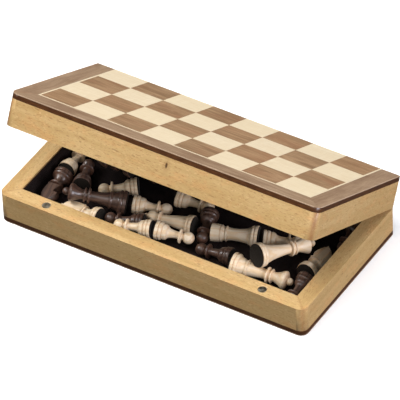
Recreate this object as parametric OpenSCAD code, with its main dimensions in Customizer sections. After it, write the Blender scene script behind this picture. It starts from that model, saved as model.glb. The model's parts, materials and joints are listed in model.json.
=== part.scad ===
// Folding travel chess case: two shallow wooden boxes hinged along one long side, whose
// outer faces are the two halves of the board, with the chessmen lying loose inside.
//
// The lower half rests on z = 0, with the origin at the centre of its resting face.
// X runs along the case, +Y points to the hinged side, +Z is up. Sizes are in millimetres.

/* [Case] */
// Length of the case, along the hinged side
case_l = 240; // [240:1:246]
// Width of each half, from its front to its hinged side
case_w = 117; // [117:1:120]
// Height of each half, from its outer face to its rim
half_h = 23.5; // [23.5:0.5:27]
// Gap between the two rims when the case is shut
rim_gap = 0.2; // [0.1:0.1:0.4]
// Angle that the lid stands open, in degrees
lid_open = 26.4; // [20:0.1:90]
// Width of the solid wood rails
rail_w = 11.5; // [10.5:0.5:11.5]
// Radius of the upright front corners
corner_r = 6; // [2:0.5:8]

/* [Board] */
// Thickness of the dark board under the veneers
core_t = 3.4; // [3:0.1:3.4]
// Thickness of the veneers
veneer_t = 0.6; // [0.5:0.1:0.6]
// Pitch of the squares
square_pitch = 26.2; // [25.8:0.1:26.2]
// Distance from the front face to the first row of squares
front_margin = 15.4; // [14:0.1:16]
// Width of the light stringing round the squares
string_w = 1.4; // [1:0.1:2]
// Width of the glue line round each piece of veneer
glue_line = 0.06; // [0.04:0.01:0.1]
// Thickness of the velvet lining
lining_t = 1; // [0.8:0.1:1]
// Height of bare wood left above the lining, up to the rim
lining_drop = 1.2; // [1:0.1:3]

/* [Magnets and hinges] */
// Diameter of the closing magnets
magnet_d = 6; // [5:0.5:6]
// Length of the closing magnets
magnet_l = 4; // [3:0.5:5]
// Distance from the middle of the case to each magnet
magnet_x = 85; // [70:1:90]
// Distance from the middle of the case to the middle of each hinge
hinge_x = 68; // [50:1:80]
// Length of each hinge
hinge_l = 30; // [28:1:34]
// Thickness of the hinge leaves
leaf_t = 1; // [0.9:0.1:1]
// Width of the hinge leaves, from the pin's axis
leaf_w = 9; // [9:0.5:9.5]
// Radius of the hinge knuckles
knuckle_r = 1.7; // [1.6:0.1:1.8]
// Radius of the hinge pins
pin_r = 0.8; // [0.7:0.05:0.85]
// Running clearance between a pin and its knuckles
pin_play = 0.05; // [0.03:0.01:0.08]

/* [Chessmen] */
// Height of a pawn
pawn_h = 28; // [27:0.5:28]
// Height of a rook
rook_h = 33; // [31:0.5:33]
// Height of a knight
knight_h = 32; // [31:0.5:32]
// Height of a bishop
bishop_h = 37; // [35:0.5:37]
// Height of a queen
queen_h = 44.5; // [44.5:0.5:45]
// Height of a king
king_h = 47; // [45:0.5:47]
// Thickness of the felt under each chessman
felt_t = 0.8; // [0.6:0.1:1]

/* [Hidden] */
$fn = 48;
eps = 0.01;
board_t = core_t + veneer_t;
hinge_y = case_w / 2;
hinge_z = half_h + rim_gap / 2;
field_x = 4 * square_pitch;
row_pitch = (case_w - front_margin) / 4;
inner_x = case_l / 2 - rail_w;
inner_y = case_w / 2 - rail_w;
magnet_y = rail_w / 2 - case_w / 2;
floor_z = board_t + lining_t;
rest_gap = 0.3;
glue_gap = 0.05;
notch_gap = 0.3;
screw_r = 0.8;
screw_head_r = 1.6;
screw_l = 7;
screw_x = hinge_l / 2 - 5;
screw_y = hinge_y - 5.8;
knuckle_l = hinge_l / 3;

beech = [0.85, 0.70, 0.48];
walnut = [0.52, 0.38, 0.27];
maple = [0.95, 0.89, 0.76];
wenge = [0.24, 0.14, 0.07];
velvet = [0.08, 0.06, 0.07];
boxwood = [0.87, 0.77, 0.62];
ebonised = [0.20, 0.13, 0.11];
brass = [0.80, 0.66, 0.36];

// Each chessman as it lies in the lower half: name, kind, wood, the middle of its base in
// x and y, the heading of its axis in degrees, and how far it is raised off the lining and
// tipped head down where it lies on another chessman.
MEN = [
    ["light_king", "king", boxwood, 66.2, -29.4, 62.5, 12.7, 10],
    ["light_queen", "queen", boxwood, 49, -33, 8, 0.5, 0],
    ["light_bishop_1", "bishop", boxwood, 6.5, -11.3, 188, 0, -3],
    ["light_bishop_2", "bishop", boxwood, 33, 23, 0, 0, 0],
    ["light_knight_1", "knight", boxwood, -53, -36, 180, 0, 0],
    ["light_knight_2", "knight", boxwood, 95.6, -15.4, 90, 0, 0],
    ["light_rook_1", "rook", boxwood, 51, -0.4, 200, 0, -3],
    ["light_rook_2", "rook", boxwood, -45.6, 38, 180, 0, 0],
    ["light_pawn_1", "pawn", boxwood, -100.2, -6, 95, 0, 0],
    ["light_pawn_2", "pawn", boxwood, -48, 5, 212, 0, 0],
    ["light_pawn_3", "pawn", boxwood, -42.8, -12.3, 20, 0, 0],
    ["light_pawn_4", "pawn", boxwood, -13.2, -32.5, 194, 5.6, 0],
    ["light_pawn_5", "pawn", boxwood, -12, -32, 13, 5.6, 0],
    ["light_pawn_6", "pawn", boxwood, 52.4, 0.2, 27, 0, 0],
    ["light_pawn_7", "pawn", boxwood, -20, 8, 8, 0, 0],
    ["light_pawn_8", "pawn", boxwood, 85, 39, 180, 0, 0],
    ["dark_king", "king", ebonised, -42, 22, 180, 0, 0],
    ["dark_queen", "queen", ebonised, -44.6, -15.6, 204, 0, -14],
    ["dark_bishop_1", "bishop", ebonised, 31, 23, 180, 0, 0],
    ["dark_bishop_2", "bishop", ebonised, 22, 38, 180, 0, 0],
    ["dark_knight_1", "knight", ebonised, -99, -9, 275, 0, 0],
    ["dark_knight_2", "knight", ebonised, -54.2, 9.5, 180, 9.9, 0],
    ["dark_rook_1", "rook", ebonised, -40, 23, 0, 0, 0],
    ["dark_rook_2", "rook", ebonised, 23.4, 38, 0, 0, 0],
    ["dark_pawn_1", "pawn", ebonised, -82.6, -13.8, 111, 0, 0],
    ["dark_pawn_2", "pawn", ebonised, -24.8, -24.8, 197, 0, -4],
    ["dark_pawn_3", "pawn", ebonised, 45, -25, 184, 0, 0],
    ["dark_pawn_4", "pawn", ebonised, 98.4, -17.6, 271, 0, 0],
    ["dark_pawn_5", "pawn", ebonised, 8.4, 6, 288, 0, 0],
    ["dark_pawn_6", "pawn", ebonised, -107, 39, 0, 0, 0],
    ["dark_pawn_7", "pawn", ebonised, -44, 39, 0, 0, 0],
    ["dark_pawn_8", "pawn", ebonised, 100, 45, 277, 0, 0],
];

// ---- Placing ----

// Turns what is drawn as a second lower half over into the lid, and opens it
module as_lid() {
    translate([0, hinge_y, hinge_z]) rotate([-lid_open, 0, 0])
        translate([0, -hinge_y, -hinge_z])
            translate([0, 0, 2 * hinge_z]) mirror([0, 0, 1]) children();
}

module both_sides(x) {
    for (side = [-1, 1]) translate([side * x, 0, 0]) children();
}

// ---- Case ----

// Slab of the case's outline with rounded front corners
module slab(z0, z1) {
    straight_y = corner_r - case_w / 2;
    translate([0, 0, z0]) {
        translate([-case_l / 2, straight_y, 0]) cube([case_l, case_w - corner_r, z1 - z0]);
        translate([corner_r - case_l / 2, -case_w / 2, 0])
            cube([case_l - 2 * corner_r, case_w / 2, z1 - z0]);
        both_sides(case_l / 2 - corner_r)
            translate([0, straight_y, 0]) cylinder(r = corner_r, h = z1 - z0);
    }
}

// Upright prism over the strip of the given width along one side, mitred at both ends
module front_strip(width, z0, z1) {
    translate([0, 0, z0]) linear_extrude(z1 - z0) polygon([
        [-case_l / 2, -case_w / 2], [case_l / 2, -case_w / 2],
        [case_l / 2 - width, width - case_w / 2], [width - case_l / 2, width - case_w / 2]
    ]);
}

module right_strip(width, z0, z1, back) {
    translate([0, 0, z0]) linear_extrude(z1 - z0) polygon([
        [case_l / 2, -case_w / 2], [case_l / 2, case_w / 2],
        [case_l / 2 - width, case_w / 2 - back], [case_l / 2 - width, width - case_w / 2]
    ]);
}

module front_rail() {
    color(beech) difference() {
        intersection() {
            slab(board_t, half_h);
            front_strip(rail_w, board_t, half_h);
        }
        both_sides(magnet_x) translate([0, magnet_y, half_h - magnet_l - 0.3]) {
            cylinder(r = magnet_d / 2 + glue_gap, h = magnet_l + 1);
            translate([0, 0, magnet_l])
                cylinder(r1 = magnet_d / 2 + glue_gap, r2 = magnet_d / 2 + 0.6, h = 0.3 + eps);
        }
    }
}

module right_rail() {
    color(beech) intersection() {
        slab(board_t, half_h);
        right_strip(rail_w, board_t, half_h, rail_w);
    }
}

module left_rail() {
    mirror([1, 0, 0]) right_rail();
}

// Back rail, let in for the hinge leaves, the knuckles and the screws
module back_rail() {
    seat = leaf_t + rim_gap / 2;
    color(beech) difference() {
        mirror([0, 1, 0]) front_strip(rail_w, board_t, half_h);
        both_sides(hinge_x) {
            translate([-hinge_l / 2 - glue_gap, hinge_y - leaf_w - glue_gap, hinge_z - seat])
                cube([hinge_l + 2 * glue_gap, leaf_w + 1, seat + 1]);
            translate([-hinge_l / 2 - notch_gap, hinge_y, hinge_z]) rotate([0, 90, 0])
                cylinder(r = knuckle_r + notch_gap, h = hinge_l + 2 * notch_gap);
            both_sides(screw_x) translate([0, screw_y, hinge_z - seat - screw_l])
                cylinder(r = screw_r + 0.02, h = screw_l + 1);
        }
    }
}

module board_core() {
    color(wenge) slab(veneer_t, board_t);
}

module border() {
    side_w = case_l / 2 - field_x - string_w;
    front_w = front_margin - string_w;
    inset = glue_line / 2;
    color(walnut) intersection() {
        slab(0, veneer_t);
        union() {
            difference() {
                front_strip(front_w - inset, 0, veneer_t);
                for (side = [-1, 1]) mitre_cut(side, side_w, front_w, -1);
            }
            for (side = [-1, 1]) difference() {
                translate([side > 0 ? case_l / 2 - side_w + inset : -case_l / 2, -case_w / 2, 0])
                    cube([side_w - inset, case_w, veneer_t]);
                mitre_cut(side, side_w, front_w, 1);
            }
        }
    }
}

// Half plane on one side of the border's mitre, from the outer corner to the inner one
module mitre_cut(side, side_w, front_w, keep) {
    corner = [side * case_l / 2, -case_w / 2];
    inner = [side * (case_l / 2 - side_w), front_w - case_w / 2];
    along = (inner - corner) / norm(inner - corner);
    across = [-along[1], along[0]] * side * keep;
    from = corner - along * 20 + across * -glue_line / 2;
    to = corner + along * 60 + across * -glue_line / 2;
    translate([0, 0, -1]) linear_extrude(veneer_t + 2)
        polygon([from, to, to + across * 90, from + across * 90]);
}

module stringing() {
    inset = glue_line / 2;
    y0 = front_margin - case_w / 2;
    color(maple) {
        both_sides(field_x + string_w / 2)
            translate([inset - string_w / 2, y0 + inset, 0])
                cube([string_w - glue_line, case_w - front_margin - inset, veneer_t]);
        translate([-field_x - string_w + inset, y0 - string_w + inset, 0])
            cube([2 * (field_x + string_w) - glue_line, string_w - glue_line, veneer_t]);
    }
}

// Squares of one colour: those whose column and row add up to odd or even
module squares(odd) {
    for (col = [0 : 7], row = [0 : 3])
        if ((col + row) % 2 == odd)
            translate([
                col * square_pitch - field_x + glue_line / 2,
                row * row_pitch + front_margin - case_w / 2 + glue_line / 2,
                0
            ]) cube([square_pitch - glue_line, row_pitch - glue_line, veneer_t]);
}

module light_squares(odd) {
    color(maple) squares(odd);
}

module dark_squares(odd) {
    color(walnut) squares(odd);
}

// Velvet glued over the floor and the inner walls
module lining() {
    color(velvet) difference() {
        translate([-inner_x, -inner_y, board_t])
            cube([2 * inner_x, 2 * inner_y, half_h - lining_drop - board_t]);
        translate([lining_t - inner_x, lining_t - inner_y, floor_z])
            cube([2 * (inner_x - lining_t), 2 * (inner_y - lining_t), half_h]);
    }
}

module magnets() {
    color("silver") both_sides(magnet_x) translate([0, magnet_y, half_h - magnet_l - 0.3])
        cylinder(r = magnet_d / 2, h = magnet_l);
}

// ---- Hinges ----

// One knuckle on the pin's axis, starting at x
module knuckle(x) {
    translate([x, hinge_y, hinge_z]) rotate([0, 90, 0])
        cylinder(r = knuckle_r, h = knuckle_l - 0.2);
}

// A pair of leaves let into the rim; starts lists where each leaf's own knuckles begin, and
// others where the other leaf's do
module leaves(starts, others) {
    plate_z = half_h - leaf_t;
    color(brass) both_sides(hinge_x) difference() {
        union() {
            translate([-hinge_l / 2, hinge_y - leaf_w, plate_z]) cube([hinge_l, leaf_w, leaf_t]);
            for (x = starts) knuckle(x);
        }
        for (x = others) translate([x - 0.1, hinge_y - knuckle_r - notch_gap, plate_z - 1])
            cube([knuckle_l, knuckle_r + 2, leaf_t + 3]);
        translate([-hinge_l, hinge_y, hinge_z]) rotate([0, 90, 0])
            cylinder(r = pin_r + pin_play, h = 2 * hinge_l);
        both_sides(screw_x) translate([0, screw_y, half_h - leaf_t - 1]) {
            cylinder(r = screw_r + 0.1, h = leaf_t + 2);
            translate([0, 0, 1 + eps])
                cylinder(r1 = screw_r + 0.1, r2 = screw_head_r + 0.1, h = leaf_t);
        }
    }
}

module hinge_screws() {
    color(brass) both_sides(hinge_x) both_sides(screw_x)
        translate([0, screw_y, half_h - leaf_t - screw_l + 1]) {
            cylinder(r = screw_r, h = screw_l - 1);
            translate([0, 0, screw_l - 1])
                cylinder(r1 = screw_r, r2 = screw_head_r, h = leaf_t - 0.1);
        }
}

module hinge_pins() {
    color(brass) both_sides(hinge_x) translate([-hinge_l / 2, hinge_y, hinge_z])
        rotate([0, 90, 0]) cylinder(r = pin_r, h = hinge_l - 0.2);
}

// ---- Chessmen ----

// Points of an arc in the outline of a turned piece, from angle a0 to a1 in n steps
function arc(r, z, radius, a0, a1, n) =
    [for (i = [0 : n]) let (a = a0 + (a1 - a0) * i / n) [r + radius * cos(a), z + radius * sin(a)]];

// A rounded ring of outer radius r and thickness t round the axis, with its middle at z
function ring(r, z, t) = arc(r - t / 2, z, t / 2, -70, 70, 4);

// The foot that every chessman stands on: a disc, a groove and a second, smaller moulding
function foot(r) = concat(
    [[0, felt_t], [r - 0.4, felt_t], [r, felt_t + 0.4], [r, 3], [r - 0.5, 3.3], [r - 0.3, 3.7]],
    arc(r - 2.3, 4.2, 2, 0, 60, 3)
);

function pawn_outline(h) = concat(
    foot(6.5), [[5.6, 6.6], [5.1, 8.6], [4.3, 9.2], [3.3, 10.4], [2.8, 13], [2.5, 17]],
    ring(5.1, 18.3, 1.6), [[2.4, 19.6]],
    arc(0, h - 4.2, 4.2, -50, 78, 7), [[0, h]]
);

function rook_outline(h) = concat(
    foot(7.8), [[5.6, 8], [4.8, 10.5], [4.2, 15], [4.1, 20]],
    ring(5.4, 22.5, 1.6), [[4.8, 23.8], [5.8, 25], [5.8, 26], [5.4, 26.3], [5.9, 26.7]],
    [[6.2, h - 0.6], [5.9, h], [4.2, h], [3.8, h - 1.2], [0, h - 1.4]]
);

function bishop_outline(h) = concat(
    foot(7), [[5.4, 8], [5, 10], [4.2, 15], [3.3, 20], [2.7, 24]],
    ring(4.7, 25.4, 1.5), [[2.6, 26.8], [3.6, 28.2], [4.2, 30], [3.9, 31.8], [2.9, 33.6]],
    [[1, h - 2.4]], arc(0, h - 1.3, 1.3, -50, 70, 4), [[0, h]]
);

function queen_outline(h) = concat(
    foot(8.5), [[6.2, 8.6], [5, 12], [4, 18], [3.3, 24]],
    ring(5.6, 26.2, 1.6), [[3.8, 27.6]], ring(5, 29, 1.4), [[3.4, 30.2], [3.4, 31.2]],
    [[4.4, 34.2], [5.9, 36.8], [6.4, 38.2], [6, 39.2], [4.6, 39.9]],
    arc(0, h - 2.7, 2.7, -36, 75, 5), [[0, h]]
);

function king_outline(h) = concat(
    foot(8.5), [[6.4, 8.6], [5.2, 12], [4.2, 18], [3.4, 25]],
    ring(5.5, 27.4, 1.6), [[4, 28.8]], ring(5.1, 30.4, 1.4), [[3.5, 31.8], [3.6, 33]],
    [[4.8, 36.6], [6.2, 39.6], [6, 40.4], [4.6, 41.6], [1.6, 42.2], [1.3, 43]],
    [[2.2, 44.2], [2.2, 45.4], [1.2, h - 0.3], [0, h]]
);

function knight_foot_outline() = concat(
    foot(7.2), [[4.6, 7.6], [3.9, 9], [3.8, 10.6]],
    ring(5.4, 12.4, 1.6), [[4.6, 13.6], [0, 13.8]]
);

// Radius of a chessman's foot
function foot_r(kind) =
    kind == "pawn" ? 6.5 : kind == "rook" ? 7.8 : kind == "bishop" ? 7 :
    kind == "knight" ? 7.2 : 8.5;

// Height and radius of the widest part near a chessman's head, on which it lies
function head_at(kind) =
    kind == "pawn" ? [18.3, 5.1] : kind == "rook" ? [rook_h, 6.2] :
    kind == "bishop" ? [30, 4.2] : kind == "knight" ? [knight_h, 4] :
    kind == "queen" ? [38.2, 6.4] : [39.6, 6.2];

module turned(outline) {
    rotate_extrude() polygon(outline);
}

// A knight's head: the side view cut from a plank, rounded by the turning behind it
module knight_head() {
    intersection() {
        rotate([90, 0, 0]) translate([0, 0, -4]) linear_extrude(8) polygon([
            [-5, 13.4], [5, 13.4], [4.6, 17], [2.6, 20], [4.8, 19.4], [6.1, 21], [5.6, 23.6],
            [3.2, 27], [1.2, 29.6], [0.4, knight_h], [-1.6, 29.8], [-4.6, 27], [-5.9, 22.6],
            [-5.8, 17.6]
        ]);
        translate([0, 0, 13.4]) cylinder(r = 6.2, h = knight_h);
    }
}

module felt(r) {
    cylinder(r = r - 0.4, h = felt_t - glue_gap);
}

// A chessman standing upright
module upright(kind) {
    felt(foot_r(kind));
    if (kind == "pawn") turned(pawn_outline(pawn_h));
    if (kind == "rook") turned(rook_outline(rook_h));
    if (kind == "bishop") turned(bishop_outline(bishop_h));
    if (kind == "queen") turned(queen_outline(queen_h));
    if (kind == "king") turned(king_outline(king_h));
    if (kind == "knight") {
        turned(knight_foot_outline());
        knight_head();
    }
}

// A chessman lying on the lining on the edge of its foot and its head, a knight on its flat side
module chessman(man) {
    kind = man[1];
    head = head_at(kind);
    dip = atan2(foot_r(kind) - head[1], head[0]) + man[7];
    z = floor_z + rest_gap + foot_r(kind) * cos(dip) + man[6];
    roll = kind == "knight" ? 90 : 0;
    color(man[2]) translate([man[3], man[4], z]) rotate([0, 90 + dip, man[5]])
        rotate([0, 0, roll]) upright(kind);
}

front_rail();  // tray_front_rail
back_rail();  // tray_back_rail
left_rail();  // tray_left_rail
right_rail();  // tray_right_rail
board_core();  // tray_board_core
border();  // tray_border
stringing();  // tray_stringing
light_squares(0);  // tray_light_squares
dark_squares(1);  // tray_dark_squares
lining();  // tray_lining
magnets();  // tray_magnets
leaves([-hinge_l / 2, hinge_l / 2 - knuckle_l], [-knuckle_l / 2]);  // tray_hinge_leaves
hinge_screws();  // tray_hinge_screws
hinge_pins();
as_lid() front_rail();  // lid_front_rail
as_lid() back_rail();  // lid_back_rail
as_lid() left_rail();  // lid_left_rail
as_lid() right_rail();  // lid_right_rail
as_lid() board_core();  // lid_board_core
as_lid() border();  // lid_border
as_lid() stringing();  // lid_stringing
as_lid() light_squares(1);  // lid_light_squares
as_lid() dark_squares(0);  // lid_dark_squares
as_lid() lining();  // lid_lining
as_lid() magnets();  // lid_magnets
as_lid() leaves([-knuckle_l / 2], [-hinge_l / 2, hinge_l / 2 - knuckle_l]);  // lid_hinge_leaves
as_lid() hinge_screws();  // lid_hinge_screws
for (man = MEN)
    chessman(man);
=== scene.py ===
"""Looks of the folding chess case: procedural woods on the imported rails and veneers, velvet
linings, and finely turned chessmen in place of the plain CAD ones.

Lengths are in metres, in the frame that the part was packed in. The outlines and the textures
are in millimetres, and MM turns those into metres.
"""
import json
import math

import bmesh
import bpy
from mathutils import Matrix, Vector, noise


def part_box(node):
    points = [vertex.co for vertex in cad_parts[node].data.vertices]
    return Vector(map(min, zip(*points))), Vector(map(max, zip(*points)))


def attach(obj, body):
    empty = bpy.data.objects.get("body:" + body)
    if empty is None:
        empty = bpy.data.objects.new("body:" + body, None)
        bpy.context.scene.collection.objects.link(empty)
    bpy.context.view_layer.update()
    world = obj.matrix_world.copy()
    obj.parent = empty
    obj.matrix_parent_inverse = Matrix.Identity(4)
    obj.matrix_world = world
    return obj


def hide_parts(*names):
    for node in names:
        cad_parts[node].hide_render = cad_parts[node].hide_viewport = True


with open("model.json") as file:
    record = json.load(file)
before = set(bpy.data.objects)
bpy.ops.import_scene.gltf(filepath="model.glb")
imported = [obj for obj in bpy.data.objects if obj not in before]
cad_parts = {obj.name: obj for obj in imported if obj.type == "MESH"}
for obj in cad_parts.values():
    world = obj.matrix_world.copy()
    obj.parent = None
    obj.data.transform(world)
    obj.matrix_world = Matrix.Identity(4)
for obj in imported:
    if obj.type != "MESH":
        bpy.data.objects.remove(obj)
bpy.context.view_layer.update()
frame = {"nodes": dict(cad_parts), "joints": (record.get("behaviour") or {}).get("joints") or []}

MM = 0.001
NODES = frame["nodes"]
HINGE = next(j for j in frame["joints"] if j["name"] == "case_hinge")
HINGE_AXIS = Vector(HINGE["pos_m"])
LID_OPEN = math.radians(-HINGE["range_deg"][0])

# ---- The case's sizes, from its CAD nodes ----

TRAY_LOW, TRAY_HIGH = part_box("tray_board_core")
LINING_LOW, LINING_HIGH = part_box("tray_lining")
SQUARES_LOW, SQUARES_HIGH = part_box("tray_light_squares")
LINING_T = 1 * MM
FILES, RANKS = 8, 4  # squares along and across one half of the board
SHUFFLE = 900  # how far apart in the veneer two squares may be cut, in millimetres

# TO_LID takes a point of the shut case to the same point of the lid as it stands open, and
# TURNED_OVER takes a point of the lower half to the upper half of the shut case
LID_TURN = Matrix.Rotation(-LID_OPEN, 4, "X")
TO_LID = Matrix.Translation(HINGE_AXIS) @ LID_TURN @ Matrix.Translation(-HINGE_AXIS)
TURNED_OVER = Matrix.Translation((0, 0, 2 * HINGE_AXIS.z)) @ Matrix.Scale(-1, 4, (0, 0, 1))


# ---- Shader graphs ----

class Graph:
    """A material under construction, with short calls for the shader nodes used here."""

    def __init__(self, name):
        self.material = bpy.data.materials.new(name)
        self.material.use_nodes = True
        self.tree = self.material.node_tree
        self.tree.nodes.clear()
        self.shader = self.add("ShaderNodeBsdfPrincipled")
        output = self.add("ShaderNodeOutputMaterial")
        self.tree.links.new(self.shader.outputs["BSDF"], output.inputs["Surface"])

    def add(self, kind, inputs=None, **settings):
        node = self.tree.nodes.new(kind)
        for key, value in settings.items():
            setattr(node, key, value)
        for key, value in (inputs or {}).items():
            self.put(node.inputs[key], value)
        return node

    def put(self, socket, value):
        if isinstance(value, bpy.types.NodeSocket):
            self.tree.links.new(value, socket)
        else:
            socket.default_value = value

    def set(self, socket_name, value):
        self.put(self.shader.inputs[socket_name], value)

    def varnish(self, weight, rough, ior=1.48):
        """A clear coat of that weight and roughness, the same all over"""
        self.set("IOR", ior)
        self.set("Coat Weight", weight)
        self.set("Coat Roughness", rough)

    def math(self, operation, a, b=0.0):
        return self.add("ShaderNodeMath", {0: a, 1: b}, operation=operation).outputs[0]

    def vector(self, operation, a, b):
        return self.add("ShaderNodeVectorMath", {0: a, 1: b}, operation=operation).outputs[0]

    def split(self, vector):
        return self.add("ShaderNodeSeparateXYZ", {0: vector}).outputs

    def noise(self, vector, scale, detail=2.0, rough=0.5, warp=0.0):
        inputs = {"Vector": vector, "Scale": scale, "Detail": detail, "Roughness": rough,
                  "Distortion": warp}
        return self.add("ShaderNodeTexNoise", inputs).outputs["Fac"]

    def step(self, value, low, high, to_low=0.0, to_high=1.0):
        """value eased from to_low to to_high as it goes from low to high"""
        inputs = {"Value": value, "From Min": low, "From Max": high,
                  "To Min": to_low, "To Max": to_high}
        return self.add("ShaderNodeMapRange", inputs, interpolation_type="SMOOTHSTEP").outputs[0]

    def mix(self, share, a, b, blend="MIX"):
        node = self.add("ShaderNodeMix", data_type="RGBA", blend_type=blend)
        self.put(node.inputs["Factor"], share)
        for socket, colour in ((node.inputs[6], a), (node.inputs[7], b)):
            self.put(socket, colour if isinstance(colour, bpy.types.NodeSocket) else rgb(colour))
        return node.outputs[2]

    def bump(self, height, depth):
        """Bumps the surface by height, 0 to 1, times depth in metres"""
        inputs = {"Height": height, "Distance": depth, "Strength": 1.0}
        self.set("Normal", self.add("ShaderNodeBump", inputs).outputs[0])

    def in_mm(self, point):
        return self.vector("MULTIPLY", point, (1 / MM, 1 / MM, 1 / MM))

    def own_place(self):
        """The point's place in its own object, in millimetres"""
        return self.in_mm(self.add("ShaderNodeTexCoord").outputs["Object"])

    def place(self, lid=False):
        """The point's place in the shut case, in millimetres"""
        point = self.add("ShaderNodeTexCoord").outputs["Object"]
        if lid:
            back = TO_LID.inverted()
            point = self.add("ShaderNodeMapping", {
                "Vector": point,
                "Location": back.to_translation(),
                "Rotation": back.to_euler(),
            }).outputs[0]
        return self.in_mm(point)


def rgb(colour):
    """A colour given as sRGB bytes, as the linear RGBA that a shader takes"""
    linear = [(c / 255 / 12.92) if c <= 10 else ((c / 255 + 0.055) / 1.055) ** 2.4 for c in colour]
    return (*linear, 1.0)


# ---- Colours, as sRGB bytes ----

BEECH_DEEP, BEECH_PALE = (188, 154, 100), (205, 173, 120)
BEECH_ORANGE, BEECH_OLIVE = (214, 156, 98), (190, 156, 98)
BEECH_LINE, BEECH_SPECK = (184, 140, 92), (126, 82, 44)
BEECH_DASH, BEECH_PALE_DASH = (160, 112, 64), (236, 204, 156)
END_GRAIN = (146, 94, 50)
KNOT, KNOT_HALO = (70, 40, 18), (150, 106, 62)
# Walnut's tones are its dark figure, its light figure and its clouds
WALNUT_BORDER = ((146, 118, 92), (172, 144, 116), (128, 98, 74))
WALNUT_SQUARES = ((132, 102, 72), (176, 143, 108), (156, 110, 80))
WALNUT_PALE_SQUARE, WALNUT_PORE = (178, 134, 94), (96, 66, 42)
# The next colour is a painted highlight along the walnut border's outer edge
WALNUT_EDGE_HIGHLIGHT = (216, 190, 162)
MAPLE_PALE, MAPLE_LINE = (234, 217, 186), (224, 203, 168)
MAPLE_CURL, MAPLE_WARM_SQUARE = (241, 227, 200), (234, 214, 172)
STAIN_DARK, STAIN_PALE, STAIN_PATCH = (64, 34, 12), (92, 54, 22), (50, 26, 10)
# Turned wood's tones are the pale and the deep part of its rings, and its pores
BOXWOOD = ((244, 224, 195), (236, 206, 165), (198, 148, 102))
EBONISED = ((98, 72, 58), (70, 51, 42), (120, 80, 60))
PILE_DARK, PILE_PALE, PILE_BRUSHED = (20, 15, 15), (36, 29, 28), (52, 41, 38)
PILE_SHEEN = (120, 100, 96)
FELT_DARK, FELT_PALE = (26, 21, 16), (44, 36, 27)
# Metal's tones are its bright and its dulled patches
NICKEL = ((150, 140, 120), (196, 188, 170))
BRASS = ((196, 158, 88), (168, 132, 72))
PIN_BRASS = ((186, 150, 84), (150, 118, 66))
FLOOR_DARK, FLOOR_PALE = (244, 244, 244), (248, 248, 248)


# ---- Wood ----

# All in millimetres
LID_CUT = (37, 11, 60)  # how far away in the same plank the lid's rails are cut
OLIVE_SHIFT, PALE_SHIFT = (50, 50, 50), (9, 9, 9)  # keep a noise clear of the one before it
CORNER_BAND = (4.6, 1.2)  # from an edge, where end grain starts to show and where it is full
MITRE_BAND, MITRE_END = (1.6, 0.1), (12, 10)  # the same across and along a mitre
KNOTTED_RAIL, KNOT_X, KNOT_Z = "beech_lid_front", 5.5, 37.5
# Distances from the border's outer edge, in mm, where the painted edge highlight starts and where
# it is full
EDGE_HIGHLIGHT_BAND = (0.6, 0.2)


def along_grain(graph, point, axis, squeeze):
    """The point with its distance along the grain's axis shortened, so that patterns stretch"""
    factor = [1, 1, 1]
    factor["XYZ".index(axis)] = squeeze
    return graph.vector("MULTIPLY", point, factor)


def beech(name, lid, axis):
    """Steamed beech rail: yellow and orange clouds, faint growth lines and short dark flecks"""
    g = Graph(name)
    g.varnish(0.12, 0.3)
    plain = g.place(lid)
    point = g.vector("ADD", plain, LID_CUT) if lid else plain
    grain = along_grain(g, point, axis, 0.06)
    bands = g.noise(grain, 0.13, 3, 0.55, 0.6)
    lines = g.noise(grain, 1.6, 4, 0.6, 0.3)
    colour = g.mix(g.step(bands, 0.3, 0.7), BEECH_DEEP, BEECH_PALE)
    clouds = along_grain(g, point, axis, 0.45)
    orange = g.noise(clouds, 0.16, 3, 0.6)
    colour = g.mix(g.step(orange, 0.48, 0.70, 0.0, 0.34), colour, BEECH_ORANGE)
    olive = g.noise(g.vector("ADD", clouds, OLIVE_SHIFT), 0.12, 3, 0.6)
    colour = g.mix(g.step(olive, 0.48, 0.70, 0.0, 0.4), colour, BEECH_OLIVE)
    colour = g.mix(g.step(lines, 0.42, 0.75, 0.0, 0.3), colour, BEECH_LINE)
    # The rays show as short dark dashes along the grain, with paler ones between them
    dashes = g.noise(along_grain(g, point, axis, 0.22), 1.9, 1.0, 0.5)
    colour = g.mix(g.step(dashes, 0.57, 0.68, 0.0, 0.55), colour, BEECH_DASH)
    moved = g.vector("ADD", point, PALE_SHIFT)
    pale = g.noise(along_grain(g, moved, axis, 0.35), 1.1, 1, 0.5)
    colour = g.mix(g.step(pale, 0.6, 0.75, 0.0, 0.3), colour, BEECH_PALE_DASH)
    specks = g.noise(along_grain(g, point, axis, 0.3), 0.6, 0, 0.5)
    colour = g.mix(g.step(specks, 0.77, 0.81, 0.0, 0.45), colour, BEECH_SPECK)
    colour = end_grain(g, colour, plain, 0.85 if lid else 0.5)
    if name == KNOTTED_RAIL:
        colour = knot(g, colour, plain)
    g.set("Base Color", colour)
    g.set("Roughness", g.step(lines, 0.3, 0.8, 0.36, 0.5))
    relief = g.math("ADD", g.math("MULTIPLY", lines, 0.5), g.math("MULTIPLY", dashes, 0.5))
    g.bump(relief, 0.06 * MM)
    return g.material


def from_edges(g, place):
    """How far inside the case's nearer side and its front the place is, in millimetres"""
    x, y, _ = g.split(place)
    from_side = g.math("SUBTRACT", TRAY_HIGH.x / MM, g.math("ABSOLUTE", x))
    return from_side, g.math("SUBTRACT", y, TRAY_LOW.y / MM)


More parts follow.
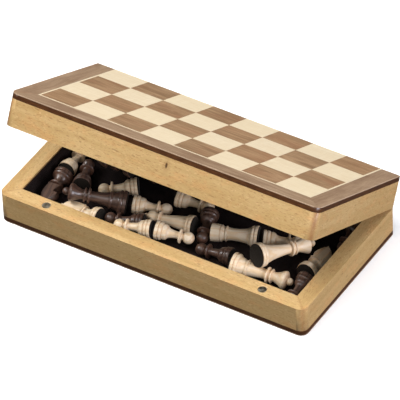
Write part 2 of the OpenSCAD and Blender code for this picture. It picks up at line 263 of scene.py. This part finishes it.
def end_grain(g, colour, place, strength):
    """Browner wood where the front corners are rounded, and along the mitres"""
    from_side, from_front = from_edges(g, place)
    corner = g.math("MULTIPLY", g.step(from_side, *CORNER_BAND), g.step(from_front, *CORNER_BAND))
    mitre = g.math("ABSOLUTE", g.math("SUBTRACT", from_side, from_front))
    near = g.math("MULTIPLY", g.step(mitre, *MITRE_BAND),
                  g.step(from_front, *MITRE_END, 0.0, 0.35))
    worn = g.noise(place, 0.35, 3, 0.6)
    shade = g.math("MULTIPLY", g.math("MAXIMUM", g.math("MULTIPLY", corner, strength), near),
                   g.step(worn, 0.25, 0.6, 0.6, 1.0))
    return g.mix(shade, colour, END_GRAIN)


def knot(g, colour, place):
    """A small dark pin knot, set upright in the lid's front rail, with a faint halo"""
    offset = g.vector("SUBTRACT", place, (KNOT_X, TRAY_LOW.y / MM, KNOT_Z))
    tall = g.vector("MULTIPLY", offset, (1.0, 1.0, 0.42))
    far = g.add("ShaderNodeVectorMath", {0: tall}, operation="LENGTH").outputs["Value"]
    colour = g.mix(g.step(far, 4.0, 0.8, 0.0, 0.25), colour, KNOT_HALO)
    return g.mix(g.step(far, 1.15, 0.5, 0.0, 0.9), colour, KNOT)


def walnut(name, lid, axis, tones, per_square):
    """Walnut veneer: fine dark pores along the grain, and each square cut from another place"""
    g = Graph(name)
    g.varnish(0.06, 0.25)
    g.set("Specular IOR Level", 0.35)
    point = g.place(lid)
    if per_square:
        point, tone = shuffled(g, point)
    dark, light, streak = tones
    grain = along_grain(g, point, axis, 0.05)
    figure = g.noise(along_grain(g, point, axis, 0.12), 0.16, 4, 0.62, 1.5)
    pores = g.noise(grain, 2.6, 3, 0.7, 0.2)
    clouds = g.noise(along_grain(g, point, axis, 0.35), 0.09, 3, 0.6)
    colour = g.mix(g.step(figure, 0.3, 0.7), dark, light)
    colour = g.mix(g.step(clouds, 0.45, 0.75, 0.0, 0.6), colour, streak)
    if per_square:
        colour = g.mix(g.math("MULTIPLY", tone, 0.3), colour, WALNUT_PALE_SQUARE)
    else:
        # A painted highlight along the border's outer edge
        colour = painted_edge_highlight(g, colour, point)
    colour = g.mix(g.step(pores, 0.5, 0.75, 0.0, 0.4), colour, WALNUT_PORE)
    g.set("Base Color", colour)
    g.set("Roughness", g.step(pores, 0.3, 0.8, 0.34, 0.5))
    g.bump(pores, 0.04 * MM)
    return g.material


def painted_edge_highlight(g, colour, place):
    """Painted highlight: a pale line along the border's outer edge, standing in for the light that
    the edge catches
    """
    from_side, from_front = from_edges(g, place)
    near = g.step(g.math("MINIMUM", from_side, from_front), *EDGE_HIGHLIGHT_BAND, 0.0, 0.45)
    return g.mix(near, colour, WALNUT_EDGE_HIGHLIGHT)


def maple(name, lid, per_square):
    """Maple veneer: almost even cream, with hair-thin lines and a faint curl across them"""
    g = Graph(name)
    g.varnish(0.06, 0.25)
    g.set("Specular IOR Level", 0.35)
    point = g.place(lid)
    if per_square:
        point, tone = shuffled(g, point)
    grain = along_grain(g, point, "X", 0.05)
    lines = g.noise(grain, 1.4, 4, 0.6, 0.4)
    curl = g.noise(along_grain(g, point, "Y", 0.25), 0.35, 2, 0.5)
    colour = g.mix(g.step(lines, 0.3, 0.75), MAPLE_PALE, MAPLE_LINE)
    colour = g.mix(g.step(curl, 0.45, 0.75, 0.0, 0.3), colour, MAPLE_CURL)
    if per_square:
        colour = g.mix(g.math("MULTIPLY", tone, 0.25), colour, MAPLE_WARM_SQUARE)
    g.set("Base Color", colour)
    g.set("Roughness", g.step(lines, 0.3, 0.8, 0.36, 0.46))
    g.bump(lines, 0.02 * MM)
    return g.material


def shuffled(g, point):
    """The point moved by a random step for each square, and the square's random tone"""
    pitch_x = (SQUARES_HIGH.x - SQUARES_LOW.x) / FILES / MM
    pitch_y = (SQUARES_HIGH.y - SQUARES_LOW.y) / RANKS / MM
    start = (-SQUARES_LOW.x / MM, -SQUARES_LOW.y / MM, 0)
    cell = g.vector("DIVIDE", g.vector("ADD", point, start), (pitch_x, pitch_y, 1 / MM))
    cell = g.vector("FLOOR", cell, (0, 0, 0))
    random = g.add("ShaderNodeTexWhiteNoise", {"Vector": cell}, noise_dimensions="3D")
    step = g.vector("MULTIPLY", random.outputs["Color"], (SHUFFLE, SHUFFLE, SHUFFLE))
    return g.vector("ADD", point, step), random.outputs["Value"]


def stained_edge(name, lid):
    """Dark stained board between the rails and the veneer, streaked along its length"""
    g = Graph(name)
    g.varnish(0.3, 0.22)
    point = g.place(lid)
    streaks = g.noise(g.vector("MULTIPLY", point, (0.12, 0.12, 1.0)), 1.3, 4, 0.6, 0.3)
    patches = g.noise(point, 0.06, 3, 0.6)
    colour = g.mix(g.step(streaks, 0.35, 0.7), STAIN_DARK, STAIN_PALE)
    colour = g.mix(g.step(patches, 0.5, 0.8, 0.0, 0.4), colour, STAIN_PATCH)
    g.set("Base Color", colour)
    g.set("Roughness", g.step(streaks, 0.3, 0.8, 0.3, 0.48))
    g.bump(streaks, 0.05 * MM)
    return g.material


PITH_AT, PITH_SPREAD = 14.0, 40.0  # how far from the piece's axis its pith runs, in mm
LOG_LENGTH = 300  # how far apart along the log two pieces may be cut, in mm
RING_WANDER, RING_TURN = 9.0, 2.4  # how far the rings stray in mm, and their radians per mm


def turned_wood(name, tones, coat):
    """Turned wood with its grain along the piece: growth rings round an off-centre pith,
    pores along the sides, end grain on the ends, and fine marks from the turning"""
    g = Graph(name)
    g.varnish(coat, 0.2, ior=1.5)
    pale, deep, line = tones
    chance = g.add("ShaderNodeObjectInfo").outputs["Random"]
    point = g.own_place()
    away = g.add("ShaderNodeCombineXYZ", {
        0: g.math("MULTIPLY", chance, PITH_SPREAD),
        1: PITH_AT,
        2: g.math("MULTIPLY", chance, LOG_LENGTH),
    }).outputs[0]
    moved = g.vector("ADD", point, away)
    grain = g.vector("MULTIPLY", moved, (1, 1, 0.08))
    wander = g.noise(grain, 0.16, 2, 0.5)
    x, y, _ = g.split(grain)
    pith = g.math("SQRT", g.math("ADD", g.math("MULTIPLY", x, x), g.math("MULTIPLY", y, y)))
    wavy = g.math("ADD", pith, g.math("MULTIPLY", wander, RING_WANDER))
    rings = g.math("SINE", g.math("MULTIPLY", wavy, RING_TURN))
    pores = g.noise(grain, 2.2, 3, 0.7)
    colour = g.mix(g.step(rings, -0.4, 1.0), pale, deep)
    colour = g.mix(g.step(pores, 0.5, 0.78, 0.0, 0.3), colour, line)
    colour = g.mix(g.math("MULTIPLY", chance, 0.35), colour, deep)
    # End grain drinks more stain: where the surface faces along the piece, near its ends
    facing = g.split(g.add("ShaderNodeTexCoord").outputs["Normal"])[2]
    end = g.math("MULTIPLY", g.step(g.math("ABSOLUTE", facing), 0.45, 0.95), 0.35)
    colour = g.mix(end, colour, line)
    height = g.split(point)[2]
    marks = g.add("ShaderNodeTexNoise", {"W": height, "Scale": 3.1, "Detail": 2.0},
                  noise_dimensions="1D").outputs["Fac"]
    g.set("Base Color", colour)
    g.set("Roughness", g.step(pores, 0.3, 0.8, 0.4, 0.52))
    relief = g.math("ADD", g.math("MULTIPLY", marks, 0.6), g.math("MULTIPLY", pores, 0.4))
    g.bump(relief, 0.04 * MM)
    return g.material


# ---- Cloth and metal ----

def velvet(name, lid):
    """Black velvet, brushed this way and that"""
    g = Graph(name)
    g.set("Sheen Weight", 0.35)
    g.set("Sheen Roughness", 0.4)
    g.set("Sheen Tint", rgb(PILE_SHEEN))
    g.set("Specular IOR Level", 0.1)
    point = g.place(lid)
    pile = g.noise(point, 7.0, 2, 0.7)
    brushed = g.noise(g.vector("MULTIPLY", point, (1, 0.6, 1)), 0.07, 3, 0.6, 0.8)
    colour = g.mix(g.step(pile, 0.3, 0.7), PILE_DARK, PILE_PALE)
    colour = g.mix(g.step(brushed, 0.45, 0.7, 0.0, 0.5), colour, PILE_BRUSHED)
    g.set("Base Color", colour)
    g.set("Roughness", g.step(brushed, 0.3, 0.7, 0.85, 1.0))
    g.bump(pile, 0.25 * MM)
    return g.material


def felt(name):
    """Dark felt under the chessmen, matted and a little fluffy"""
    g = Graph(name)
    g.set("Sheen Weight", 0.1)
    g.set("Sheen Roughness", 0.5)
    g.set("Specular IOR Level", 0.1)
    fibres = g.noise(g.own_place(), 3.0, 4, 0.7, 1.5)
    g.set("Base Color", g.mix(g.step(fibres, 0.3, 0.7), FELT_DARK, FELT_PALE))
    g.set("Roughness", g.step(fibres, 0.3, 0.7, 0.85, 1.0))
    g.bump(fibres, 0.2 * MM)
    return g.material


ALL_WAYS, ALONG_X = (1, 1, 1), (0.1, 1, 1)  # how a metal's scratches are stretched


def brushed_metal(name, lid, tones, scratched, rough):
    """Plated or polished metal with fine scratches and dulled patches"""
    g = Graph(name)
    g.set("Metallic", 1.0)
    point = g.place(lid)
    scratches = g.noise(g.vector("MULTIPLY", point, scratched), 4.0, 3, 0.7)
    dulled = g.noise(point, 0.5, 3, 0.6)
    colour = g.mix(g.step(dulled, 0.35, 0.7), *tones)
    g.set("Base Color", colour)
    g.set("Roughness", g.step(dulled, 0.3, 0.7, rough, rough + 0.2))
    g.bump(scratches, 0.02 * MM)
    return g.material


# ---- Materials and softened edges of the CAD nodes ----

WELD_GAP = 0.002 * MM
SHARP_EDGE = math.radians(50)


def dress(node, material, edge=0.0):
    """Gives a CAD node its material, and rounds its sharp edges by that radius"""
    piece = NODES[node]
    piece.data.materials.clear()
    piece.data.materials.append(material)
    if edge:
        piece.modifiers.new("weld", "WELD").merge_threshold = WELD_GAP
        bevel = piece.modifiers.new("edges", "BEVEL")
        bevel.width = edge
        bevel.segments = 2
        bevel.limit_method = "ANGLE"
        bevel.angle_limit = SHARP_EDGE
        bevel.harden_normals = True


def dress_case():
    for half in ("tray", "lid"):
        lid = half == "lid"
        for side, axis in (("front", "X"), ("back", "X"), ("left", "Y"), ("right", "Y")):
            dress(f"{half}_{side}_rail", beech(f"beech_{half}_{side}", lid, axis), 0.35 * MM)
        dress(f"{half}_board_core", stained_edge(f"stained_edge_{half}", lid), 0.25 * MM)
        front = walnut(f"walnut_border_{half}", lid, "X", WALNUT_BORDER, False)
        dress(f"{half}_border", front, 0.2 * MM)
        sides = walnut(f"walnut_border_sides_{half}", lid, "Y", WALNUT_BORDER, False)
        side_strips(f"{half}_border", sides, lid)
        dress(f"{half}_dark_squares", walnut(f"walnut_{half}", lid, "X", WALNUT_SQUARES, True))
        dress(f"{half}_light_squares", maple(f"maple_{half}", lid, True))
        dress(f"{half}_stringing", maple(f"maple_stringing_{half}", lid, False))
        nickel = brushed_metal(f"nickel_{half}", lid, NICKEL, ALL_WAYS, 0.32)
        dress(f"{half}_magnets", nickel, 0.3 * MM)
        brass = brushed_metal(f"brass_{half}", lid, BRASS, ALONG_X, 0.25)
        dress(f"{half}_hinge_leaves", brass, 0.12 * MM)
        dress(f"{half}_hinge_screws", brass, 0.1 * MM)
    pins = brushed_metal("brass_pins", False, PIN_BRASS, ALONG_X, 0.3)
    dress("hinge_pins", pins, 0.15 * MM)


def side_strips(node, material, lid):
    """The border's two side strips take the material whose grain runs along them"""
    mesh = NODES[node].data
    mesh.materials.append(material)
    back = TO_LID.inverted() if lid else Matrix.Identity(4)
    for face in mesh.polygons:
        x, y, _ = back @ face.center
        past_mitre = TRAY_HIGH.x - abs(x) < y - TRAY_LOW.y
        face.material_index = 1 if past_mitre or y > SQUARES_LOW.y else 0


# ---- Turned chessmen: outlines as (radius, height) in millimetres ----

FELT_T = 0.8


def arc(r, z, radius, first, last, steps=6):
    """Points of an arc about (r, z), from the angle first to last in degrees"""
    angles = [math.radians(first + (last - first) * i / steps) for i in range(steps + 1)]
    return [(r + radius * math.cos(a), z + radius * math.sin(a)) for a in angles]


def sweep(*points, steps=5):
    """A smooth curve through the points"""
    ends = [points[0], *points, points[-1]]
    curve = []
    for a, b, c, d in zip(ends, ends[1:], ends[2:], ends[3:]):
        for i in range(steps):
            t = i / steps
            curve.append(tuple(
                0.5 * (2 * q + (r - p) * t + (2 * p - 5 * q + 4 * r - s) * t * t
                       + (3 * q - p - 3 * r + s) * t ** 3)
                for p, q, r, s in zip(a, b, c, d)
            ))
    return curve + [points[-1]]


def collar(r, z, thickness):
    """A thin ring with a rounded edge"""
    half = thickness / 2
    return arc(r - half, z, half, -80, 80, 6)


def foot(r):
    """A disc, a dark cut groove, and a second moulding above it"""
    disc = [(0, FELT_T), (r - 0.7, FELT_T), *arc(r - 0.4, FELT_T + 0.45, 0.4, -70, 0, 3)]
    disc += [(r, 2.1), *arc(r - 0.35, 2.7, 0.35, 0, 75, 3), (r - 0.85, 3.1), (r - 0.85, 3.3)]
    return disc + arc(r - 1.9, 4.3, 1.65, -35, 72, 8)


def pawn():
    return [*foot(6.5), *sweep((5.5, 6.3), (5.4, 7.4), (5.0, 8.6), (4.6, 9.1)),
            *sweep((4.3, 9.3), (3.5, 10.2), (3.0, 11.8), (2.7, 14), (2.55, 16.2), (2.9, 17.5)),
            *collar(5.1, 18.3, 1.5), (2.9, 19.1), *arc(0, 23.8, 4.2, -56, 90, 14)]


def rook():
    return [*foot(7.8),
            *sweep((6.1, 6.5), (5.3, 8.2), (4.7, 11), (4.25, 15), (4.2, 19), (4.5, 21.6)),
            *collar(5.4, 22.5, 1.5), *sweep((4.7, 23.5), (5.1, 24.6), (5.8, 25.4)),
            (5.8, 26.2), (5.4, 26.4), (5.4, 26.6), (6.0, 26.9), (6.2, 29.8), (6.15, 32.5),
            *arc(5.8, 32.6, 0.4, 10, 90, 3), (4.6, 33), *arc(4.6, 32.6, 0.4, 90, 170, 3),
            (4.0, 31.7), (0, 31.5)]


def bishop():
    return [*foot(7),
            *sweep((5.4, 6.5), (5.15, 8.2), (4.85, 10.4), (4.15, 15), (3.3, 20), (2.75, 24.5)),
            *collar(4.7, 25.4, 1.4),
            *sweep((2.7, 26.3), (3.5, 28), (4.15, 30), (4.0, 31.6), (3.0, 33.6), (1.2, 34.7)),
            *arc(0, 35.7, 1.3, -45, 90, 8)]


def queen():
    return [*foot(8.5), *sweep((6.7, 6.5), (5.9, 8.7), (5.3, 10), (5.6, 10.8)),
            *collar(6.1, 11.5, 1.5),
            *sweep((5.2, 12.3), (4.6, 14.6), (4.0, 19), (3.5, 24), (3.6, 25.2)),
            *collar(5.6, 26.2, 1.5), (3.9, 27.1), (3.9, 28.2), *collar(5, 29, 1.3),
            *sweep((3.5, 29.8), (3.45, 31.2), (4.4, 34), (5.7, 36.4), (6.3, 37.8)),
            *sweep((6.4, 38.3), (6.2, 39.1), (5.2, 39.9), (3.6, 40.3), (2.2, 40.3)),
            *arc(0, 41.8, 2.7, -34, 90, 12)]


def king():
    return [*foot(8.5),
            *sweep((6.7, 6.5), (6.2, 8.6), (5.3, 12), (4.3, 18), (3.5, 24.6), (3.6, 26.2)),
            *collar(5.6, 27.3, 1.8), (4.1, 28.3), (4.1, 29.4), *collar(5.1, 30.2, 1.4),
            *sweep((3.8, 31.2), (3.7, 32.6), (4.5, 35.4), (5.5, 38), (6.1, 39.6)),
            *arc(5.8, 40.1, 0.4, -20, 60, 4),
            *sweep((5.4, 40.8), (4.2, 41.6), (2.2, 42), (1.3, 42.6)),
            *sweep((1.3, 43.2), (2.2, 44.4), (2.25, 45.2), (1.6, 46.2), (1.1, 46.7)), (0, 47)]


def knight():
    return [*foot(7.2), *sweep((5.2, 6.5), (4.6, 7.5), (4.0, 9), (3.9, 10.6), (4.4, 11.6)),
            *collar(5.4, 12.4, 1.5), (4.9, 13.1), (4.9, 13.5), (0, 13.6)]


OUTLINES = {"pawn": pawn, "rook": rook, "bishop": bishop, "queen": queen, "king": king,
            "knight": knight}
FOOT_R = {"pawn": 6.5, "rook": 7.8, "bishop": 7, "queen": 8.5, "king": 8.5, "knight": 7.2}

# Side view of a knight's head as it is sawn from a plank, looking towards +X
KNIGHT_HEAD = [
    (-4.8, 13.3), (4.6, 13.3), (4.7, 15.2), (4.1, 17.4), (3.0, 19.2), (2.6, 20.0), (3.4, 19.6),
    (4.8, 19.3), (5.7, 19.9), (6.0, 21.2), (5.7, 22.6), (4.9, 24.3), (3.9, 26.2), (3.1, 27.8),
    (2.5, 28.6), (1.6, 29.2), (0.6, 31.9), (-0.5, 30.2), (-1.8, 29.8), (-3.3, 28.6), (-4.6, 26.8),
    (-5.5, 24.6), (-5.9, 22), (-5.9, 19.4), (-5.6, 16.8), (-5.2, 14.8),
]
SEGMENTS = 48


def turned(bm, outline):
    """Adds the solid that the outline sweeps round Z"""
    rings = []
    for r, z in outline:
        if r < 1e-6:
            rings.append([bm.verts.new((0, 0, z * MM))])
            continue
        rings.append([
            bm.verts.new((r * MM * math.cos(a), r * MM * math.sin(a), z * MM))
            for a in (math.tau * i / SEGMENTS for i in range(SEGMENTS))
        ])
    for low, high in zip(rings, rings[1:]):
        for i in range(SEGMENTS):
            j = (i + 1) % SEGMENTS
            m, n = len(low), len(high)
            corners = [low[i % m], low[j % m], high[j % n], high[i % n]]
            bm.faces.new(list(dict.fromkeys(corners)))


def inset_outline(points, distance):
    """The closed outline moved inwards by the distance"""
    moved = []
    for i, (x, z) in enumerate(points):
        before, after = points[i - 1], points[(i + 1) % len(points)]
        tangent = Vector((after[0] - before[0], after[1] - before[1])).normalized()
        moved.append((x - tangent.y * distance, z + tangent.x * distance))
    return moved


# The head's loops from one side to the other: the side, the share of the head's half
# thickness, and how far the outline is cut back there
KNIGHT_LOOPS = ((-1, 1.0, 1.1), (-1, 0.62, 0.25), (-1, 0.3, 0),
                (1, 0.3, 0), (1, 0.62, 0.25), (1, 1.0, 1.1))
HEAD_HALF, MUZZLE_THINNER, EARS_THINNER = 4.0, 1.3, 0.9
JAW_Z, BROW_Z = 18.5, 26


def knight_head(bm):
    """Adds the head: a plank whose edges are carved back towards the outline in two steps"""
    loops = []
    for side, share, cut in KNIGHT_LOOPS:
        loop = []
        for x, z in inset_outline(KNIGHT_HEAD, cut):
            muzzle = min(max((x - 1.0) / 5, 0), 1) if z > JAW_Z else 0
            ears = min(max((z - BROW_Z) / 6, 0), 1)
            half = HEAD_HALF - MUZZLE_THINNER * muzzle - EARS_THINNER * ears
            loop.append(bm.verts.new((x * MM, side * share * half * MM, z * MM)))
        loops.append(loop)
    count = len(KNIGHT_HEAD)
    for a, b in zip(loops, loops[1:]):
        for i in range(count):
            j = (i + 1) % count
            bm.faces.new((a[i], a[j], b[j], b[i]))
    bm.faces.new(list(reversed(loops[0])))
    bm.faces.new(loops[-1])


def finished(bm, name, sharp=35):
    """Turns the bmesh into a smooth-shaded object, crisp at edges over sharp degrees"""
    bmesh.ops.recalc_face_normals(bm, faces=bm.faces)
    bm.normal_update()
    for face in bm.faces:
        face.smooth = True
    for e in bm.edges:
        e.smooth = len(e.link_faces) == 2 and e.calc_face_angle() < math.radians(sharp)
    mesh = bpy.data.meshes.new(name)
    bm.to_mesh(mesh)
    bm.free()
    piece = bpy.data.objects.new(name, mesh)
    bpy.context.scene.collection.objects.link(piece)
    return piece


SAME_WAY = 0.999  # the cosine above which two faces face the same way
FOOT_FLAT = 0.02 * MM
# The underside of a knight's jaw: the dot product of its normal with up, and its least height
JAW_LEAN = (-0.985, -0.94)
JAW_ABOVE = 15 * MM


def standing(node, kind):
    """The matrix that takes an upright chessman to where its CAD node lies, read off the
    node's mesh: its largest flat faces are those of its round foot, which face downwards"""
    faces = [(f.normal.copy(), f.center.copy(), f.area) for f in NODES[node].data.polygons]
    areas = {}
    for normal, _, area in faces:
        key = tuple(round(c, 2) for c in normal)
        areas[key] = areas.get(key, 0) + area
    widest = Vector(max(areas, key=areas.get)).normalized()
    down = sum((n * a for n, _, a in faces if n.dot(widest) > SAME_WAY), Vector()).normalized()
    lowest = max(c.dot(down) for _, c, _ in faces)
    under = [(c, a) for n, c, a in faces
             if n.dot(down) > SAME_WAY and lowest - c.dot(down) < FOOT_FLAT]
    base = sum((c * a for c, a in under), Vector()) / sum(a for _, a in under)
    up = -down
    forward = up.orthogonal().normalized()
    if kind == "knight":
        forward = jaw_side(faces, up, base)
    side = up.cross(forward)
    turn = Matrix((forward, side, up)).transposed().to_4x4()
    return Matrix.Translation(base) @ turn


def jaw_side(faces, up, base):
    """Which way a knight faces: the side on which the underside of its jaw lies"""
    jaw = [(c, a) for n, c, a in faces
           if JAW_LEAN[0] < n.dot(up) < JAW_LEAN[1] and (c - base).dot(up) > JAW_ABOVE]
    middle = sum((c * a for c, a in jaw), Vector()) / sum(a for _, a in jaw) - base
    return (middle - up * middle.dot(up)).normalized()


def felt_pad(r):
    """The outline of the felt disc under a foot, with its lower edge rounded"""
    return [(0, 0), (r - 0.3, 0), *arc(r - 0.25, 0.25, 0.25, -70, 10, 3),
            (r - 0.05, FELT_T - 0.1), (0, FELT_T - 0.05)]


def make_chessmen(woods, felt_material):
    for node in (n for n in NODES if n.startswith(("light_", "dark_"))):
        colour, kind = node.split("_")[:2]
        place = standing(node, kind)
        bm = bmesh.new()
        turned(bm, OUTLINES[kind]())
        if kind == "knight":
            knight_head(bm)
        man = finished(bm, node + "_wood", 28)
        man.data.materials.append(woods[colour])
        man.matrix_world = place
        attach(man, node)
        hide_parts(node)

        bm = bmesh.new()
        turned(bm, felt_pad(FOOT_R[kind] - 0.4))
        pad = finished(bm, node + "_felt", 50)
        pad.data.materials.append(felt_material)
        pad.matrix_world = place
        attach(pad, node)


# ---- Velvet linings ----

def rounded_rectangle(half_x, half_y, radius, z, counts, steps=4):
    """Points round a rectangle with rounded corners, its straight stretches cut into counts"""
    points = []
    for quarter, (sx, sy) in enumerate(((1, 1), (-1, 1), (-1, -1), (1, -1))):
        cx, cy = sx * (half_x - radius), sy * (half_y - radius)
        for i in range(steps + 1):
            a = math.radians(90 * quarter + 90 * i / steps)
            points.append(Vector((cx + radius * math.cos(a), cy + radius * math.sin(a), z)))
        corner, count = points[-1], counts[quarter % 2]
        length = 2 * ((half_x, half_y)[quarter % 2] - radius)
        heading = Vector(((-1, 0, 0), (0, -1, 0), (1, 0, 0), (0, 1, 0))[quarter])
        points += [corner + heading * length * i / count for i in range(1, count)]
    return points


FOLD_R = 1.4 * MM
CORNER_R = 1.2 * MM
FLOOR_ROWS = 16
WALL_COUNTS = (44, 18)  # how many pieces the long and the short walls are cut into
UNEVEN, UNEVEN_SCALE = 0.22 * MM, 60  # how far the floor strays from flat, and how often
TOP_EDGE = 1  # the strip, counted from the outside, that shows the cut edge of the backing


def lining_sections():
    """The lining in section, as (distance in from the wall, height): up the outside, over the
    top edge, down the inside, round the fold, and over the floor to the middle"""
    top, floor = LINING_HIGH.z, LINING_LOW.z + LINING_T
    sections = [(0.0, LINING_LOW.z), (0.0, top), (LINING_T * 0.55, top),
                (LINING_T * 0.9, top - 0.25 * MM), (LINING_T, top - 3 * MM),
                (LINING_T, floor + FOLD_R)]
    for i in range(1, 5):
        a = math.radians(90 * i / 4)
        sections.append((LINING_T + FOLD_R * (1 - math.cos(a)),
                         floor + FOLD_R * (1 - math.sin(a))))
    reach = LINING_HIGH.y - LINING_T - FOLD_R
    sections += [(LINING_T + FOLD_R + reach * i / FLOOR_ROWS, floor)
                 for i in range(1, FLOOR_ROWS)]
    return sections


def lining(half, material, backing):
    """The velvet in one half: up the walls, with a soft fold where it meets the floor, and
    the cut edge of its backing along the top"""
    half_x, half_y = LINING_HIGH.x, LINING_HIGH.y
    bm = bmesh.new()
    loops = []
    for inset, z in lining_sections():
        radius = min(CORNER_R, 0.9 * (half_y - inset))
        loop = []
        for point in rounded_rectangle(half_x - inset, half_y - inset, radius, z, WALL_COUNTS):
            if inset > LINING_T + FOLD_R * 0.5:
                point.z += noise.noise(point * UNEVEN_SCALE) * UNEVEN
            loop.append(bm.verts.new(point))
        loops.append(loop)
    for k, (a, b) in enumerate(zip(loops, loops[1:])):
        for i in range(len(a)):
            j = (i + 1) % len(a)
            face = bm.faces.new((a[i], a[j], b[j], b[i]))
            face.material_index = 1 if k == TOP_EDGE else 0
    bm.faces.new(loops[-1])
    bm.faces.new(list(reversed(loops[0])))
    if half == "lid":
        bm.transform(TO_LID @ TURNED_OVER)
    piece = finished(bm, half + "_velvet", 40)
    piece.data.materials.append(material)
    piece.data.materials.append(backing)
    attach(piece, half)
    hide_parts(half + "_lining")


# ---- Camera, floor and lights ----

CAMERA_ANGLES = (33.432, 41.55, -2.696)  # azimuth, elevation and roll, in degrees
CAMERA_PLACE = (1.40069, -2.11519, 2.27236)
CAMERA_LENS = 453.26
FLOOR_SIZE = 6
FLOOR_GAP = 0.2 * MM  # how far the floor lies under the case, so that the two never flicker
WHITE = (1, 1, 1, 1)


def add_camera():
    """A long lens far off, level with the photographer's eye"""
    azimuth, elevation, roll = (math.radians(a) for a in CAMERA_ANGLES)
    level = math.cos(elevation)
    back = Vector((math.sin(azimuth) * level, -math.cos(azimuth) * level, math.sin(elevation)))
    right = Vector((0, 0, 1)).cross(back).normalized()
    turn = Matrix((right, back.cross(right), back)).transposed() @ Matrix.Rotation(roll, 3, "Z")
    camera = bpy.data.objects.new("camera", bpy.data.cameras.new("camera"))
    camera.data.lens = CAMERA_LENS
    camera.data.sensor_width = 36
    camera.data.clip_end = 50
    camera.matrix_world = Matrix.Translation(CAMERA_PLACE) @ turn.to_4x4()
    bpy.context.scene.collection.objects.link(camera)
    bpy.context.scene.camera = camera


def add_floor():
    bm = bmesh.new()
    bmesh.ops.create_grid(bm, x_segments=1, y_segments=1, size=FLOOR_SIZE)
    floor = finished(bm, "floor")
    floor.location.z = -FLOOR_GAP
    g = Graph("floor")
    speckle = g.noise(g.place(), 0.02, 2)
    g.set("Base Color", g.mix(g.step(speckle, 0.3, 0.7), FLOOR_DARK, FLOOR_PALE))
    g.set("Roughness", 0.9)
    g.set("Specular IOR Level", 0.0)
    g.set("Emission Color", WHITE)
    g.set("Emission Strength", 0.2)
    floor.data.materials.append(g.material)
    floor.visible_diffuse = False
    floor.visible_glossy = False


def add_light(name, place, aim, size, power, tint=(1, 1, 1)):
    light = bpy.data.lights.new(name, "AREA")
    light.color = tint
    light.shape = "RECTANGLE"
    light.size, light.size_y = size
    light.energy = power
    lamp = bpy.data.objects.new(name, light)
    turn = (Vector(aim) - Vector(place)).to_track_quat("-Z", "Y")
    lamp.matrix_world = Matrix.Translation(place) @ turn.to_matrix().to_4x4()
    bpy.context.scene.collection.objects.link(lamp)


def add_lights():
    middle = (0, 0, 30 * MM)
    add_light("overhead", (0.1, -0.4, 1.65), middle, (1.4, 1.4), 14.5)
    add_light("upper_left", (-1.1, -0.3, 1.3), middle, (1.0, 1.0), 31)
    add_light("low_right", (1.6, -0.3, 0.6), middle, (0.9, 0.8), 26, (0.98, 0.98, 1.08))
    add_light("behind", (0.2, 1.2, 1.3), middle, (1.2, 0.9), 2.5)
    add_light("front_fill", (0.2, -1.3, 1.1), middle, (1.2, 0.6), 3.2)
    world = bpy.data.worlds.new("studio")
    bpy.context.scene.world = world
    world.use_nodes = True
    background = world.node_tree.nodes["Background"]
    background.inputs["Color"].default_value = WHITE
    background.inputs["Strength"].default_value = 0.1
    bpy.context.scene.view_settings.view_transform = "Standard"


add_camera()
dress_case()
make_chessmen(
    {
        "light": turned_wood("pale_turned_wood", BOXWOOD, 0.1),
        "dark": turned_wood("dark_turned_wood", EBONISED, 0.6),
    },
    felt("chessman_felt"),
)
backing_card = stained_edge("lining_backing", False)
for half_name in ("tray", "lid"):
    lining(half_name, velvet("velvet_" + half_name, half_name == "lid"), backing_card)
add_floor()
add_lights()
